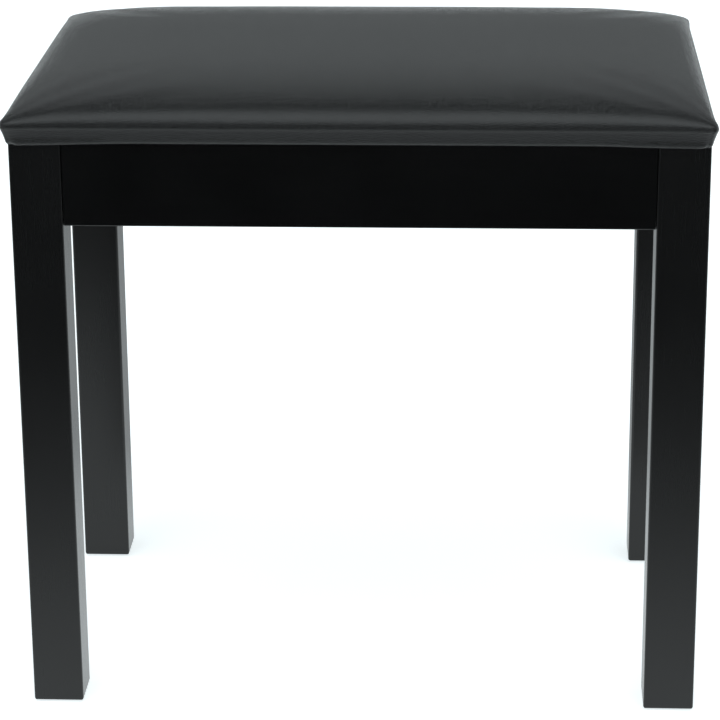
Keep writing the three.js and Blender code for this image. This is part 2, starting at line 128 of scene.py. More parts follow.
class StageSettings(bpy.types.PropertyGroup):
    """The camera, and the light that it sees the bench in."""

    def angle(name, description, degrees):
        return FloatProperty(
            name=name, description=description, default=math.radians(degrees), subtype="ANGLE")

    def strength(name, description, value):
        return FloatProperty(name=name, description=description, default=value)

    camera_place: FloatVectorProperty(
        name="Camera place", description="Where the camera stands", size=3,
        default=(0.1038, -2.2162, 1.0077), subtype="TRANSLATION")
    camera_turn: angle("Camera turn", "Turn to the left of straight ahead", 2.882)
    camera_tilt: angle("Camera tilt", "Tilt below the horizon", 19.262)
    camera_roll: angle("Camera roll", "Roll about the line of sight", -0.438)
    lens: FloatProperty(
        name="Lens", description="Focal length on a 36 mm sensor", default=143.98, unit="CAMERA")
    lamp: strength("Lamp", "Strength of the soft light in front", 1.6)
    backdrop: strength("Backdrop", "Brightness of the backdrop behind and beside", 0.56)
    front_shade: FloatProperty(
        name="Front shade", description="Share of the backdrop's light that comes from the front",
        default=0.06, subtype="FACTOR")
    floor_glow: strength("Floor glow", "Light of the floor's own, which keeps it pale", 0.78)

    del angle, strength


# ---- Shaders --------------------------------------------------------------------------------


class Value:
    """An output in a shader's maths: every operator adds one Math node."""

    def __init__(self, shader, socket):
        self.shader = shader
        self.socket = socket

    def math(self, operation, *terms):
        sockets = dict(enumerate(terms))
        return self.shader.node("ShaderNodeMath", {"operation": operation}, sockets)

    def __add__(self, other):
        return self.math("ADD", self, other)

    def __mul__(self, other):
        return self.math("MULTIPLY", self, other)

    def __rsub__(self, other):
        return self.math("SUBTRACT", other, self)

    __radd__ = __add__
    __rmul__ = __mul__


class Shader:
    """A node tree being built, for a material or the world."""

    def __init__(self, owner):
        owner.use_nodes = True
        self.owner = owner
        self.tree = owner.node_tree
        self.tree.nodes.clear()

    def node(self, kind, settings=None, sockets=None, output=0):
        made = self.tree.nodes.new(kind)
        for name, value in (settings or {}).items():
            if name == "stops":
                set_stops(made.color_ramp, value)
            else:
                setattr(made, name, value)
        for name, value in (sockets or {}).items():
            if isinstance(value, Value):
                self.tree.links.new(value.socket, made.inputs[name])
            else:
                made.inputs[name].default_value = value
        return Value(self, made.outputs[output]) if made.outputs else None

    def place(self, stretch=(1, 1, 1), turn=(0, 0, 0)):
        """The surface's own place, stretched and turned for a pattern."""
        place = self.node("ShaderNodeTexCoord", output="Object")
        sockets = {"Vector": place, "Rotation": turn, "Scale": stretch}
        return self.node("ShaderNodeMapping", {"vector_type": "POINT"}, sockets)

    def noise(self, place, scale, detail=3.0, roughness=0.5, distortion=0.0):
        sockets = {"Vector": place, "Scale": scale, "Detail": detail,
                   "Roughness": roughness, "Distortion": distortion}
        return self.node("ShaderNodeTexNoise", None, sockets)

    def cells(self, place, scale, feature, output="Distance", randomness=1.0):
        sockets = {"Vector": place, "Scale": scale, "Randomness": randomness}
        return self.node("ShaderNodeTexVoronoi", {"feature": feature}, sockets, output)

    def ramp(self, value, stops):
        """A value led through (place, grey) stops."""
        stops = [(at, (grey, grey, grey, 1)) for at, grey in stops]
        return self.node("ShaderNodeValToRGB", {"stops": stops}, {"Fac": value})

    def mix(self, share, first, second):
        """The first colour at share 0, the second at share 1."""
        sockets = {0: share, 6: first, 7: second}
        return self.node("ShaderNodeMix", {"data_type": "RGBA"}, sockets, 2)

    def bump(self, height, distance, strength):
        sockets = {"Height": height, "Distance": distance, "Strength": strength}
        return self.node("ShaderNodeBump", None, sockets)

    def surface(self, colour, roughness, normal, **constants):
        sockets = {"Base Color": colour, "Roughness": roughness, "Normal": normal}
        sockets.update({name.replace("_", " "): value for name, value in constants.items()})
        finish = self.node("ShaderNodeBsdfPrincipled", None, sockets)
        self.node("ShaderNodeOutputMaterial", None, {"Surface": finish})
        return self.owner


def set_stops(ramp, stops):
    while len(ramp.elements) > 1:
        ramp.elements.remove(ramp.elements[-1])
    ramp.elements[0].position, ramp.elements[0].color = stops[0]
    for position, colour in stops[1:]:
        ramp.elements.new(position).color = colour


def new_shader(name):
    return Shader(bpy.data.materials.new(name))


def tone(colour, factor):
    """A colour made lighter or darker."""
    return tuple(min(part * factor, 1) for part in colour[:3]) + (1,)


def colours():
    return bpy.context.scene.bench_colours


def sizes():
    return bpy.context.scene.bench_sizes


GRAIN_ALONG = {"x": (0.035, 1, 1), "y": (1, 0.035, 1), "z": (1, 1, 0.035)}


def satin_paint(axis, gloss):
    """Black satin paint: faint wood grain and orange peel under an even sheen."""
    shader = new_shader(f"satin_paint_{axis}")
    place = shader.place()
    along = shader.place(GRAIN_ALONG[axis])
    grain = shader.noise(along, 700, detail=2)
    peel = shader.noise(place, 600, detail=1)
    cloud = shader.noise(place, 14, detail=3)
    paint = colours().paint
    colour = shader.mix(shader.ramp(cloud, [(0.3, 0), (0.7, 1)]), tone(paint, 0.8), tone(paint, 1.3))
    roughness = gloss + cloud * 0.05 + grain * 0.04
    normal = shader.bump(grain * 0.6 + peel * 0.4, 0.02 * MM, 0.5)
    return shader.surface(colour, roughness, normal, IOR=1.47)


def pebbled_leatherette():
    """Soft black leatherette: small rounded pebbles parted by fine creases, with painted shade
    darkening the creases.
    """
    shader = new_shader("pebbled_leatherette")
    place = shader.place()
    wander = shader.node("ShaderNodeTexNoise", None, {"Vector": place, "Scale": 320.0}, "Color")
    pushed = shader.node(
        "ShaderNodeVectorMath", {"operation": "MULTIPLY_ADD"},
        {0: wander, 1: (0.0009, 0.0009, 0.0009), 2: place})
    edge = shader.cells(pushed, 540, "DISTANCE_TO_EDGE")
    fine = shader.cells(pushed, 1400, "DISTANCE_TO_EDGE")
    pebble = shader.ramp(edge, [(0.0, 0), (0.14, 0.42), (0.32, 0.78), (0.55, 1)])
    small = shader.ramp(fine, [(0.0, 0), (0.25, 1)])
    cloud = shader.noise(place, 9, detail=4)
    leather = colours().leatherette
    worn = shader.mix(cloud, tone(leather, 0.85), tone(leather, 1.15))
    # The creases between the pebbles are darkened in the colour: painted shade.
    colour = shader.mix(pebble, tone(leather, 0.35), worn)
    roughness = 0.24 - pebble * 0.05 + cloud * 0.03
    normal = shader.bump(pebble * 0.85 + small * 0.15, 0.22 * MM, 0.95)
    return shader.surface(colour, roughness, normal, IOR=1.5, Sheen_Weight=0.05)


def softwood(name, turn):
    """Planed softwood: growth rings drawn out along the piece, with darker late wood."""
    shader = new_shader(name)
    along = shader.place((0.05, 1, 1), (0, 0, turn))
    place = shader.place()
    wander = shader.noise(along, 60, detail=3)
    rings = shader.node(
        "ShaderNodeTexWave",
        {"wave_type": "BANDS", "bands_direction": "Y", "wave_profile": "SAW"},
        {"Vector": along, "Scale": 55.0, "Distortion": 7.0, "Detail": 3.0, "Detail Scale": 1.2},
        "Fac")
    fibre = shader.noise(along, 2200, detail=4, roughness=0.65)
    late = shader.ramp(rings, [(0.0, 0.05), (0.55, 0.2), (0.92, 0.9), (1.0, 0.15)])
    colour = shader.mix(late * 0.7 + wander * 0.15, colours().softwood, colours().softwood_dark)
    colour = shader.mix(fibre * 0.25, colour, tone(colours().softwood, 1.25))
    roughness = 0.62 + fibre * 0.15
    saw = shader.noise(place, 380, detail=2)
    normal = shader.bump(fibre * 0.7 + saw * 0.3, 0.12 * MM, 0.6)
    return shader.surface(colour, roughness, normal)


def plywood():
    """Plywood board: a veneer face, and plies of two tones round its edge."""
    shader = new_shader("plywood")
    place = shader.place((0.06, 1, 1))
    height = shader.node("ShaderNodeSeparateXYZ", None, {"Vector": shader.place()}, "Z")
    fibre = shader.noise(place, 1500, detail=4, roughness=0.6)
    veneer = shader.noise(place, 90, detail=3, distortion=1.5)
    bands = height.math("SINE", height * (2 * math.pi / (2.6 * MM))) * 0.5 + 0.5
    facing = shader.node("ShaderNodeSeparateXYZ", None, {
        "Vector": shader.node("ShaderNodeNewGeometry", output="Normal")}, "Z")
    edge = 1 - (facing * facing)
    board = colours().plywood
    face = shader.mix(veneer, tone(board, 0.8), tone(board, 1.2))
    colour = shader.mix(edge * bands * 0.6, face, tone(board, 0.45))
    return shader.surface(colour, 0.6 + fibre * 0.2, shader.bump(fibre, 0.1 * MM, 0.6))


def open_cell_foam():
    """Seat foam: small open cells, with painted shade darkening the colour for the pores."""
    shader = new_shader("open_cell_foam")
    place = shader.place()
    pores = shader.cells(place, 900, "F1")
    cloud = shader.noise(place, 25, detail=3)
    foam = colours().foam
    # The colour is darkened in a cell pattern for the pores: painted shade.
    colour = shader.mix(shader.ramp(pores, [(0.1, 1), (0.55, 0)]), tone(foam, 0.6), foam)
    colour = shader.mix(cloud * 0.3, colour, tone(foam, 0.8))
    return shader.surface(colour, 0.9 + cloud * 0.05, shader.bump(pores, 0.4 * MM, 0.8))


def coated_hardboard():
    """Hardboard with a thin black coat over its pressed fibres."""
    shader = new_shader("coated_hardboard")
    place = shader.place()
    fibre = shader.noise(place, 700, detail=5, roughness=0.65)
    cloud = shader.noise(place, 22, detail=3)
    board = colours().hardboard
    colour = shader.mix(shader.ramp(cloud, [(0.3, 0), (0.7, 1)]), tone(board, 0.75), tone(board, 1.35))
    return shader.surface(colour, 0.42 + fibre * 0.2, shader.bump(fibre, 0.1 * MM, 0.5))


def non_woven_cloth():
    """Black non-woven cloth: matted fibres, pressed with a fine grid of dots."""
    shader = new_shader("non_woven_cloth")
    place = shader.place()
    dots = shader.cells(place, 700, "F1", randomness=0.0)
    fibre = shader.noise(place, 2600, detail=4, roughness=0.7, distortion=1.2)
    press = shader.ramp(dots, [(0.15, 0), (0.35, 1)])
    cloth = colours().dust_cloth
    colour = shader.mix(press, tone(cloth, 0.6), shader.mix(fibre, cloth, tone(cloth, 2.2)))
    normal = shader.bump(press * 0.6 + fibre * 0.4, 0.12 * MM, 0.8)
    return shader.surface(colour, 0.85 + fibre * 0.1, normal, Sheen_Weight=0.2)


def plated_steel(name, colour):
    """Plated steel: a soft shine with drawn scratches and small dull spots."""
    shader = new_shader(name)
    place = shader.place()
    drawn = shader.noise(shader.place((0.08, 1, 1)), 3000, detail=3)
    spots = shader.noise(place, 420, detail=4, roughness=0.6)
    dull = shader.ramp(spots, [(0.45, 0), (0.7, 1)])
    shade = shader.mix(dull, colour, tone(colour, 0.72))
    normal = shader.bump(drawn * 0.5 + spots * 0.5, 0.03 * MM, 0.5)
    return shader.surface(shade, 0.28 + dull * 0.2 + drawn * 0.06, normal, Metallic=1.0)


def moulded(name, colour, gloss):
    """Moulded rubber or nylon: fine spark-eroded texture, faintly clouded."""
    shader = new_shader(name)
    place = shader.place()
    texture = shader.noise(place, 2400, detail=3)
    cloud = shader.noise(place, 60, detail=2)
    shade = shader.mix(cloud, tone(colour, 0.8), tone(colour, 1.25))
    return shader.surface(shade, gloss + texture * 0.12, shader.bump(texture, 0.06 * MM, 0.6))


FINISHES = {}


def finish(name):
    """A finish by name, made when it is first asked for."""
    makers = {
        "paint_x": lambda: satin_paint("x", 0.16),
        "paint_y": lambda: satin_paint("y", 0.16),
        "paint_z": lambda: satin_paint("z", 0.22),
        "leatherette": pebbled_leatherette,
        "softwood_x": lambda: softwood("softwood_along_x", 0),
        "softwood_y": lambda: softwood("softwood_along_y", math.pi / 2),
        "softwood_rising": lambda: softwood("softwood_rising", -math.pi / 4),
        "softwood_falling": lambda: softwood("softwood_falling", math.pi / 4),
        "plywood": plywood,
        "foam": open_cell_foam,
        "hardboard": coated_hardboard,
        "dust_cloth": non_woven_cloth,
        "zinc": lambda: plated_steel("bright_zinc", tuple(colours().zinc)),
        "yellow_zinc": lambda: plated_steel("yellow_zinc", tuple(colours().yellow_zinc)),
        "rubber": lambda: moulded("rubber", tuple(colours().rubber), 0.72),
        "nylon": lambda: moulded("nylon", tuple(colours().nylon), 0.45),
    }
    if name not in FINISHES:
        FINISHES[name] = makers[name]()
    return FINISHES[name]


# ---- Meshes ---------------------------------------------------------------------------------


def add_object(name, vertices, faces, material=None, sharp=math.radians(35)):
    """A mesh object with smooth faces, parted at edges sharper than an angle."""
    mesh = bpy.data.meshes.new(name)
    mesh.from_pydata([tuple(v) for v in vertices], [], [tuple(f) for f in faces])
    mesh.validate()
    mesh.polygons.foreach_set("use_smooth", [True] * len(mesh.polygons))
    mesh.set_sharp_from_angle(angle=sharp)
    if material:
        mesh.materials.append(material)
    piece = bpy.data.objects.new(name, mesh)
    bpy.context.scene.collection.objects.link(piece)
    return piece


def drop(piece):
    bpy.data.objects.remove(piece, do_unlink=True)


def settle(piece, body, slot, *nodes):
    """Says what a finished piece moves with and which nodes it stands for, and hides those nodes; the
    slot is not used.
    """
    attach(piece, body)
    if nodes:
        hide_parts(*nodes)


def middle_of(node):
    """The middle of a node's box."""
    low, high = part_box(node)
    return (Vector(low) + Vector(high)) / 2


def baked(piece):
    """The piece with its modifiers made part of its mesh."""
    graph = bpy.context.evaluated_depsgraph_get()
    mesh = bpy.data.meshes.new_from_object(piece.evaluated_get(graph))
    piece.modifiers.clear()
    piece.data = mesh
    mesh.name = piece.name
    return piece


def loft(rings):
    """Vertices and faces of a closed form through rings of equal counts, anticlockwise upwards."""
    count = len(rings[0])
    vertices = [point for ring in rings for point in ring]
    faces = []
    for level in range(len(rings) - 1):
        low = level * count
        for i in range(count):
            after = (i + 1) % count
            faces.append((low + i, low + after, low + count + after, low + count + i))
    faces.append(tuple(reversed(range(count))))
    faces.append(tuple(range((len(rings) - 1) * count, len(rings) * count)))
    return vertices, faces


def round_ring(radius, height, count=48):
    return [(radius * math.cos(2 * math.pi * i / count),
             radius * math.sin(2 * math.pi * i / count), height) for i in range(count)]


def turned(outline, count=48):
    """Rings of a turned form, from the radius and height of each level."""
    return [round_ring(radius, height, count) for radius, height in outline]


def hexagon_ring(radius, height, count=48):
    """A hexagon with its points on the same rays as a round ring's."""
    ring = []
    for i in range(count):
        angle = 2 * math.pi * i / count
        nearest = round(angle / (math.pi / 3) - 0.5) + 0.5
        reach = radius * math.cos(math.pi / 6) / math.cos(angle - nearest * math.pi / 3)
        ring.append((reach * math.cos(angle), reach * math.sin(angle), height))
    return ring


def cross_ring(arm, half_width, height, count=48):
    """A cross of four arms, on the same rays as a round ring's."""
    ring = []
    for i in range(count):
        angle = 2 * math.pi * i / count
        along, across = abs(math.cos(angle)), abs(math.sin(angle))
        if along < across:
            along, across = across, along
        reach = min(arm / along, max(half_width / max(across, 1e-6), half_width / along))
        ring.append((reach * math.cos(angle), reach * math.sin(angle), height))
    return ring


def worked_copy(node, material, arris, angle=math.radians(15)):
    """A CAD node's solid with its faces joined up and its edges finely rounded."""
    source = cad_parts[node].data
    points = [tuple(v.co) for v in source.vertices]
    triangles = [tuple(p.vertices) for p in source.polygons]
    piece = add_object(f"{node}_made", points, triangles, material)
    shape = bmesh.new()
    shape.from_mesh(piece.data)
    bmesh.ops.remove_doubles(shape, verts=shape.verts, dist=0.02 * MM)
    bmesh.ops.dissolve_limit(
        shape, angle_limit=math.radians(0.6), verts=shape.verts, edges=shape.edges)
    shape.to_mesh(piece.data)
    shape.free()
    piece.data.polygons.foreach_set("use_smooth", [True] * len(piece.data.polygons))
    piece.data.set_sharp_from_angle(angle=math.pi)
    rounding = piece.modifiers.new("Arris", "BEVEL")
    rounding.width = arris
    rounding.segments = 2
    rounding.limit_method = "ANGLE"
    rounding.angle_limit = angle
    piece.modifiers.new("Flat faces", "WEIGHTED_NORMAL")
    return piece


# ---- Geometry nodes -------------------------------------------------------------------------


class FormTree:
    """A Geometry Nodes group being built, with its inputs named."""

    def __init__(self, name, **inputs):
        self.group = bpy.data.node_groups.new(name, "GeometryNodeTree")
        for label, kind in inputs.items():
            self.group.interface.new_socket(
                label, in_out="INPUT", socket_type=f"NodeSocket{kind}")
        self.group.interface.new_socket(
            "Copies", in_out="OUTPUT", socket_type="NodeSocketGeometry")
        self.given = self.node("NodeGroupInput")

    def node(self, kind, settings=None, sockets=None):
        """Adds a node and gives its outputs."""
        made = self.group.nodes.new(kind)
        for name, value in (settings or {}).items():
            setattr(made, name, value)
        for name, value in (sockets or {}).items():
            if isinstance(value, bpy.types.NodeSocket):
                self.group.links.new(value, made.inputs[name])
            else:
                made.inputs[name].default_value = value
        return made.outputs

    def attribute(self, name):
        """A vector stored on the points."""
        return self.node(
            "GeometryNodeInputNamedAttribute", {"data_type": "FLOAT_VECTOR"}, {"Name": name}
        )["Attribute"]

    def end_in_copies(self, points, outward, along):
        """Ends the tree: a copy on every point, turned its way, made real and given its finish."""
        given = self.given
        upright = self.node(
            "FunctionNodeAlignRotationToVector", {"axis": "Z"}, {"Vector": outward})
        lined_up = self.node(
            "FunctionNodeAlignRotationToVector", {"axis": "X", "pivot_axis": "Z"},
            {"Rotation": upright[0], "Vector": along})
        back = self.node("ShaderNodeMath", {"operation": "MULTIPLY"}, {0: given["Turn"], 1: -1.0})
        spin = self.node(
            "FunctionNodeRandomValue", {"data_type": "FLOAT"},
            {2: back[0], 3: given["Turn"], "Seed": given["Seed"]})
        about = self.node(
            "FunctionNodeAxisAngleToRotation", None, {"Axis": (0, 0, 1), "Angle": spin[1]})
        spun = self.node(
            "FunctionNodeRotateRotation", {"rotation_space": "LOCAL"},
            {"Rotation": lined_up[0], "Rotate By": about[0]})
        copy = self.node("GeometryNodeObjectInfo", None, {"Object": given["Copy"]})
        placed = self.node(
            "GeometryNodeInstanceOnPoints", None,
            {"Points": points, "Instance": copy["Geometry"], "Rotation": spun[0]})
        real = self.node("GeometryNodeRealizeInstances", None, {"Geometry": placed[0]})
        finished = self.node(
            "GeometryNodeSetMaterial", None, {"Geometry": real[0], "Material": given["Finish"]})
        self.node("NodeGroupOutput", None, {"Copies": finished[0]})
        return self.group


COPY_INPUTS = {"Copy": "Object", "Finish": "Material", "Turn": "Float", "Seed": "Int"}


def copies_tree():
    """Node group: one copy of an object on every point, turned to the point's directions."""
    if "copies_on_points" in bpy.data.node_groups:
        return bpy.data.node_groups["copies_on_points"]
    tree = FormTree("copies_on_points", Points="Geometry", **COPY_INPUTS)
    ways = tree.attribute("outward"), tree.attribute("along")
    return tree.end_in_copies(tree.given["Points"], *ways)


def rows_tree():
    """Node group: copies of an object at even steps along lines, each turned along its line."""
    if "copies_along_lines" in bpy.data.node_groups:
        return bpy.data.node_groups["copies_along_lines"]
    tree = FormTree(
        "copies_along_lines", Lines="Geometry", Spacing="Float", Outward="Vector", **COPY_INPUTS)
    given = tree.given
    curve = tree.node("GeometryNodeMeshToCurve", None, {0: given["Lines"]})
    even = tree.node(
        "GeometryNodeCurveToPoints", {"mode": "LENGTH"},
        {"Curve": curve[0], "Length": given["Spacing"]})
    return tree.end_in_copies(even["Points"], given["Outward"], even["Tangent"])


def add_tree(piece, group, **values):
    """Puts a node group on a piece and sets its inputs by their names."""
    modifier = piece.modifiers.new(group.name, "NODES")
    modifier.node_group = group
    for item in group.interface.items_tree:
        if item.item_type == "SOCKET" and item.in_out == "INPUT" and item.name in values:
            modifier[item.identifier] = values[item.name]


def copies(name, places, copy, material, turn, seed):
    """One mesh of copies of an object; each place is a point, its outward way and its along way."""
    points, outward, along = zip(*places)
    piece = add_object(name, points, [])
    for way, vectors in (("outward", outward), ("along", along)):
        store = piece.data.attributes.new(way, "FLOAT_VECTOR", "POINT")
        store.data.foreach_set("vector", np.array(vectors, np.float32).ravel())
    add_tree(piece, copies_tree(), Copy=copy, Finish=finish(material), Turn=turn, Seed=seed)
    return baked(piece)


def rows(name, lines, outward, spacing, copy, material, turn, seed):
    """Copies of an object at even steps along straight lines, as one mesh."""
    ends = [end for line in lines for end in line]
    piece = add_object(name, ends, [])
    piece.data.edges.add(len(lines))
    piece.data.edges.foreach_set("vertices", list(range(len(ends))))
    add_tree(
        piece, rows_tree(), Spacing=spacing, Outward=outward, Copy=copy, Finish=finish(material),
        Turn=turn, Seed=seed)
    return baked(piece)


# ---- Frame: legs, aprons, feet --------------------------------------------------------------


class BENCH_OT_legs(bpy.types.Operator):
    """Makes the four painted legs"""

    bl_idname = "bench.legs"
    bl_label = "Legs"

    def execute(self, context):
        for corner in CORNERS:
            leg = worked_copy(f"leg_{corner}", finish("paint_z"), sizes().arris)
            settle(leg, FRAME_BODY, "black_paint", f"leg_{corner}")
        return {"FINISHED"}


class BENCH_OT_aprons(bpy.types.Operator):
    """Makes the four painted aprons, with the grain along each"""

    bl_idname = "bench.aprons"
    bl_label = "Aprons"

    def execute(self, context):
        for side, axis in SIDES:
            apron = worked_copy(f"apron_{side}", finish(f"paint_{axis}"), sizes().arris)
            settle(apron, FRAME_BODY, "black_paint", f"apron_{side}")
        return {"FINISHED"}


def disc_profile(radius, thickness, edge):
    """Radius and height of a turned disc with rounded edges, from its lower face up."""
    steps = 4
    quarter = [math.pi / 2 * i / steps for i in range(steps + 1)]
    lower = [(radius - edge + edge * math.sin(a), edge - edge * math.cos(a)) for a in quarter]
    upper = [(radius - edge + edge * math.cos(a), thickness - edge + edge * math.sin(a))
             for a in quarter]
    return lower + upper


class BENCH_OT_feet(bpy.types.Operator):
    """Makes the glides under the legs and the rest pads on top of them"""

    bl_idname = "bench.feet"
    bl_label = "Glides and rest pads"

    def execute(self, context):
        for kind, material, slot, edge in (
            ("glide", "nylon", "nylon", 0.45 * MM),
            ("rest_pad", "rubber", "rubber", 0.3 * MM),
        ):
            for corner in CORNERS:
                node = f"{kind}_{corner}"
                low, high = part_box(node)
                radius = (high.x - low.x) / 2
                vertices, faces = loft(turned(disc_profile(radius, high.z - low.z, edge)))
                middle = Vector(((low.x + high.x) / 2, (low.y + high.y) / 2, low.z))
                foot = add_object(
                    f"{node}_made", [Vector(v) + middle for v in vertices], faces, finish(material))
                settle(foot, FRAME_BODY, slot, node)
        return {"FINISHED"}


# ---- Corner blocks, bolts and the compartment's floor ---------------------------------------

BOLT_HEAD_RADIUS = 7.5 * MM
BOLT_HEAD_HEIGHT = 3.5 * MM
BOLT_RADIUS = 3 * MM
BOLT_SOCKET_RADIUS = 2.3 * MM
BOLT_SOCKET_DEPTH = 2.4 * MM
BLOCK_SCREW_OFFSET = 27 * MM  # to each side of the bolts


def bolt_form(length):
    """A furniture bolt along Z, its head's face at Z = 0 and its end below."""
    pitch, depth = 1.0 * MM, 0.35 * MM
    start = BOLT_HEAD_HEIGHT + 6 * MM
    thread = []
    for turn in range(int((length - start) / pitch)):
        thread.append((BOLT_RADIUS - depth, -start - turn * pitch))
        thread.append((BOLT_RADIUS, -start - (turn + 0.5) * pitch))
    outline = [
        *reversed(thread),
        (BOLT_RADIUS, -start + 0.5 * pitch),
        (BOLT_RADIUS, -BOLT_HEAD_HEIGHT),
        (BOLT_HEAD_RADIUS - 0.3 * MM, -BOLT_HEAD_HEIGHT),
        (BOLT_HEAD_RADIUS, -BOLT_HEAD_HEIGHT + 0.3 * MM),
        (BOLT_HEAD_RADIUS, -1.0 * MM),
        (BOLT_HEAD_RADIUS - 0.25 * MM, -0.5 * MM),
        (BOLT_HEAD_RADIUS - 0.8 * MM, -0.1 * MM),
        (BOLT_HEAD_RADIUS - 1.6 * MM, 0),
        (BOLT_SOCKET_RADIUS + 0.35 * MM, 0),
    ]
    socket = [hexagon_ring(BOLT_SOCKET_RADIUS, height) for height in (-0.3 * MM, -BOLT_SOCKET_DEPTH)]
    return loft(turned(outline) + socket)


def screw_form(head_radius, shank_radius, length, domed):
    """A wood screw along Z with a cross recess, its head's face at Z = 0 and its tip below."""
    head = 2.2 * MM if domed else 1.0 * MM
    pitch = 1.5 * MM
    start = head + 2.5 * MM
    turns = max(1, int((length - 2 * MM - start) / pitch))
    outline = [(0.15 * shank_radius, -length)]
    for turn in reversed(range(turns)):
        outline.append((shank_radius * 0.7, -start - (turn + 0.5) * pitch))
        outline.append((shank_radius, -start - turn * pitch))
    outline.append((shank_radius * 0.8, -start + 0.4 * pitch))
    if domed:
        outline += [
            (shank_radius * 0.8, -head),
            (head_radius - 0.2 * MM, -head),
            (head_radius, -head + 0.3 * MM),
            (head_radius * 0.93, -head * 0.45),
            (head_radius * 0.74, -head * 0.12),
        ]
    else:
        outline += [
            (shank_radius * 0.8, -head * 1.3),
            (head_radius - 0.1 * MM, -0.12 * MM),
            (head_radius - 0.15 * MM, 0),
        ]
    arm = head_radius * 0.55
    outline.append((arm * 1.12, 0))
    recess = [cross_ring(arm, arm * 0.24, -0.05 * MM, 24),
              cross_ring(arm * 0.6, arm * 0.2, -0.9 * MM, 24)]
    return loft(turned(outline, 24) + recess)


def plan_corner(node, side_x, side_y):
    """A corner of a node's box in plan, on the given sides, at half its height."""
    low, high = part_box(node)
    x = high.x if side_x > 0 else low.x
    y = high.y if side_y > 0 else low.y
    return Vector((x, y, (low.z + high.z) / 2))


class BENCH_OT_corners(bpy.types.Operator):
    """Makes the corner blocks, the leg bolts through them and the screws that hold them"""

    bl_idname = "bench.corners"
    bl_label = "Corner blocks and bolts"

    def execute(self, context):
        bolts, screws, nodes = [], [], []
        up = Vector((0, 0, 1))
        for corner, (side_x, side_y) in CORNERS.items():
            wood = "softwood_rising" if side_x * side_y < 0 else "softwood_falling"
            node = f"corner_block_{corner}"
            block = worked_copy(node, finish(wood), 0.5 * MM)
            settle(block, FRAME_BODY, "raw_wood", node)
            outward = Vector((side_x, side_y, 0)).normalized()
            beside = Vector((-side_y, side_x, 0)).normalized()
            for level in ("lower", "upper"):
                name = f"leg_bolt_{level}_{corner}"
                inward_corner = plan_corner(name, -side_x, -side_y)
                outward_corner = plan_corner(name, side_x, side_y)
                slant = Vector((side_x, side_y, 0)) / math.sqrt(2)
                face = inward_corner + slant * BOLT_HEAD_RADIUS
                end = outward_corner - slant * BOLT_RADIUS
                length = (end - face).length
                bolts.append((face, -outward, beside))
                nodes.append(name)
            middle = Vector((face.x, face.y, middle_of(node).z))
            inner = middle + outward * (BOLT_HEAD_HEIGHT + 0.3 * MM)
            for side in (-1, 1):
                place = inner + beside * side * BLOCK_SCREW_OFFSET - outward * 2.2 * MM
                screws.append((place, -outward, up))
        bolt = add_object("bolt_copy", *bolt_form(length))
        made = copies("leg_bolts", bolts, bolt, "zinc", math.pi, sizes().seed)
        settle(made, FRAME_BODY, "zinc_steel", *nodes)
        drop(bolt)
        screw = add_object("screw_copy", *screw_form(3.6 * MM, 1.9 * MM, 16 * MM, True))
        made = copies("corner_block_screws", screws, screw, "yellow_zinc", math.pi, sizes().seed)
        settle(made, FRAME_BODY, "yellow_zinc_steel")
        drop(screw)
        return {"FINISHED"}


class BENCH_OT_storage_floor(bpy.types.Operator):
    """Makes the compartment's floor and the battens that it lies on"""

    bl_idname = "bench.storage_floor"
    bl_label = "Compartment floor"

    def execute(self, context):
        floor = worked_copy("storage_floor", finish("hardboard"), 0.35 * MM)
        settle(floor, FRAME_BODY, "hardboard", "storage_floor")
        for side, axis in SIDES:
            node = f"floor_batten_{side}"
            batten = worked_copy(node, finish(f"softwood_{axis}"), 0.6 * MM)
            settle(batten, FRAME_BODY, "raw_wood", node)
        return {"FINISHED"}


# ---- Padded seat ----------------------------------------------------------------------------

CORNER_RADIUS = 6.5 * MM
TIGHTEST_CORNER = 2 * MM
ARC_STEPS = 8
WIDTH_STEPS = 72
DEPTH_STEPS = 48
TOP_RING_COUNT = 7
TOP_RING_REACH = 12 * MM
SKIN_GAP = 0.4 * MM  # between the covering and what is under it

# The covering's section from its cut edge under the board out and up to the roll:
# inset from the widest outline, and height over the underside, in millimetres.
WRAP_SECTION = [
    (35, 0.0), (28, 0.0), (20, 0.0), (13.5, 0.0), (8.6, 0.0),
    (5.9, 0.15), (4.4, 0.7), (3.6, 1.6), (3.2, 2.8),
    (2.75, 4.8), (2.15, 7.2), (1.5, 9.6), (1.05, 11.1), (0.65, 12.2),
    (0.25, 13.1), (0.05, 14.0), (0.0, 15.2), (0.0, 16.5),
]
ROLL_LEVEL = len(WRAP_SECTION) - 1
FOAM_FOOT_INSET = 6 * MM
ROLL_REACH = 8 * MM  # how far in the roll's own curve goes
ROLL_SHARE = 0.17  # of the padding's full height


def seat_half_sizes():
    low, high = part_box("seat_cover")
    return (high.x - low.x) / 2, (high.y - low.y) / 2


def eased_steps(count, even_share=0.55):
    """Numbers from -1 to 1, closer together towards both ends."""
    for i in range(count + 1):
        u = 2 * i / count - 1
        yield even_share * u + (1 - even_share) * math.sin(math.pi / 2 * u)


def outline_columns():
    """Each column round the seat: its angle, and its place on the core rectangle.

    The list starts at the middle of the rear right corner and runs anticlockwise.
    """
    columns = []
    along_x = list(eased_steps(WIDTH_STEPS))
    along_y = list(eased_steps(DEPTH_STEPS))
    half_arc = ARC_STEPS // 2
    sides = (
        ((1, 1), (-1, 1), [(-t, 1) for t in along_x], 1),
        ((-1, 1), (-1, -1), [(-1, -t) for t in along_y], 2),
        ((-1, -1), (1, -1), [(t, -1) for t in along_x], 3),
        ((1, -1), (1, 1), [(1, t) for t in along_y], 4),
    )
    for start, end, straight, quarter in sides:
        square = quarter * math.pi / 2
        for i in range(half_arc):
            columns.append((square - math.pi / 4 + i * math.pi / (4 * half_arc), *start))
        columns += [(square, *core) for core in straight]
        for i in range(1, half_arc):
            columns.append((square + i * math.pi / (4 * half_arc), *end))
    return np.array(columns)


